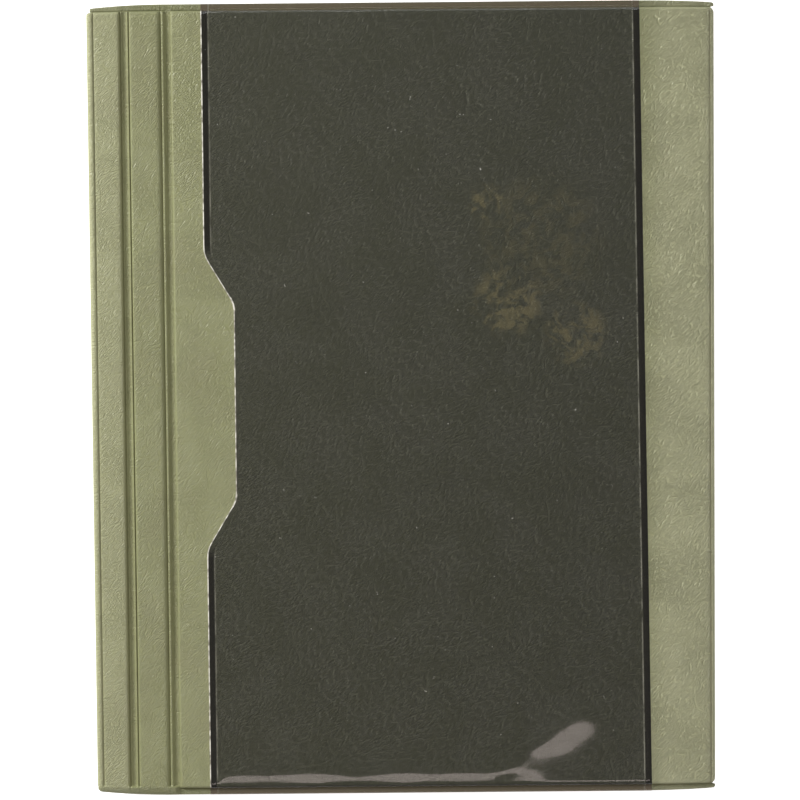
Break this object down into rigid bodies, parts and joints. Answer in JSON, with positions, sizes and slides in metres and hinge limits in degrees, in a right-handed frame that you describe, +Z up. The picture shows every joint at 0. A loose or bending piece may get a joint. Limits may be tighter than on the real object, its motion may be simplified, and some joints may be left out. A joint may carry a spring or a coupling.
{
  "type": "stamp album",
  "caption": "Post-bound stamp album in a welded leatherette case with a tinted film cover pocket, double-hinged covers and black stock leaves that turn.",
  "frame": {"origin": "middle of the closed album's base, on the surface it lies on", "axes": "+X from the spine to the fore-edge, +Y from the tail to the head of the page, +Z up through the closed album"},
  "size_m": [0.247, 0.314, 0.025],
  "materials": {
    "leatherette": "satin",
    "greyboard": "matte",
    "lining_vinyl": "matte",
    "smoke_film": "gloss",
    "flange_steel": "satin",
    "plated_steel": "satin",
    "black_card": "matte",
    "clear_strip": "gloss",
    "glassine": "satin"
  },
  "bodies": {
    "back_cover": {"back_skin": "leatherette", "back_board": "greyboard", "back_lining": "lining_vinyl"},
    "back_hinge_strip": {"back_strip_skin": "leatherette", "back_strip_board": "greyboard", "back_strip_lining": "lining_vinyl"},
    "binding": {"spine_skin": "leatherette", "spine_board": "greyboard", "front_flange_board": "greyboard", "back_flange_board": "greyboard", "spine_lining": "lining_vinyl", "front_flange_bar": "flange_steel", "back_flange_bar": "flange_steel", "post_barrels": "plated_steel", "post_screws": "plated_steel", "post_washers": "plated_steel", "leaf_stubs": "black_card", "guard_strips": "black_card", "leaf_6": "black_card", "strips_6": "clear_strip", "interleaf_6": "glassine", "leaf_7": "black_card", "strips_7": "clear_strip", "interleaf_7": "glassine", "leaf_8": "black_card", "strips_8": "clear_strip", "interleaf_8": "glassine"},
    "front_hinge_strip": {"front_strip_skin": "leatherette", "front_strip_board": "greyboard", "front_strip_lining": "lining_vinyl"},
    "front_cover": {"front_skin": "leatherette", "front_board": "greyboard", "front_lining": "lining_vinyl", "window_film": "smoke_film"},
    "turning_leaf_1": {"leaf_1": "black_card", "strips_1": "clear_strip", "interleaf_1": "glassine"},
    "turning_leaf_2": {"leaf_2": "black_card", "strips_2": "clear_strip", "interleaf_2": "glassine"},
    "turning_leaf_3": {"leaf_3": "black_card", "strips_3": "clear_strip", "interleaf_3": "glassine"},
    "turning_leaf_4": {"leaf_4": "black_card", "strips_4": "clear_strip", "interleaf_4": "glassine"},
    "turning_leaf_5": {"leaf_5": "black_card", "strips_5": "clear_strip", "interleaf_5": "glassine"}
  },
  "joints": [
    {"name": "back_outer_fold", "type": "hinge", "parent": "back_cover", "child": "back_hinge_strip", "pos_m": [-0.0922, 0, 0.0018], "axis": [0, 1, 0], "range_deg": [0, 40]},
    {"name": "back_inner_fold", "type": "hinge", "parent": "back_hinge_strip", "child": "binding", "pos_m": [-0.1084, 0, 0.0018], "axis": [0, -1, 0], "range_deg": [0, 80]},
    {"name": "front_inner_fold", "type": "hinge", "parent": "binding", "child": "front_hinge_strip", "pos_m": [-0.1084, 0, 0.0228], "axis": [0, -1, 0], "range_deg": [0, 75]},
    {"name": "front_outer_fold", "type": "hinge", "parent": "front_hinge_strip", "child": "front_cover", "pos_m": [-0.0922, 0, 0.0228], "axis": [0, -1, 0], "range_deg": [0, 75]},
    {"name": "leaf_1_turn", "type": "hinge", "parent": "binding", "child": "turning_leaf_1", "pos_m": [-0.1059, 0, 0.02065], "axis": [0, -1, 0], "range_deg": [0, 63.33]},
    {"name": "leaf_2_turn", "type": "hinge", "parent": "binding", "child": "turning_leaf_2", "pos_m": [-0.1059, 0, 0.01835], "axis": [0, -1, 0], "range_deg": [0, 51.67]},
    {"name": "leaf_3_turn", "type": "hinge", "parent": "binding", "child": "turning_leaf_3", "pos_m": [-0.1059, 0, 0.01605], "axis": [0, -1, 0], "range_deg": [0, 40]},
    {"name": "leaf_4_turn", "type": "hinge", "parent": "binding", "child": "turning_leaf_4", "pos_m": [-0.1059, 0, 0.01375], "axis": [0, -1, 0], "range_deg": [0, 28.33]},
    {"name": "leaf_5_turn", "type": "hinge", "parent": "binding", "child": "turning_leaf_5", "pos_m": [-0.1059, 0, 0.01145], "axis": [0, -1, 0], "range_deg": [0, 16.67]}
  ],
  "couplings": [
    {"joint": "back_outer_fold", "follows": "back_inner_fold", "ratio": 0.5},
    {"joint": "leaf_1_turn", "follows": "front_inner_fold", "ratio": 0.84443},
    {"joint": "leaf_2_turn", "follows": "front_inner_fold", "ratio": 0.68888},
    {"joint": "leaf_3_turn", "follows": "front_inner_fold", "ratio": 0.53332},
    {"joint": "leaf_4_turn", "follows": "front_inner_fold", "ratio": 0.37777},
    {"joint": "leaf_5_turn", "follows": "front_inner_fold", "ratio": 0.22221}
  ]
}
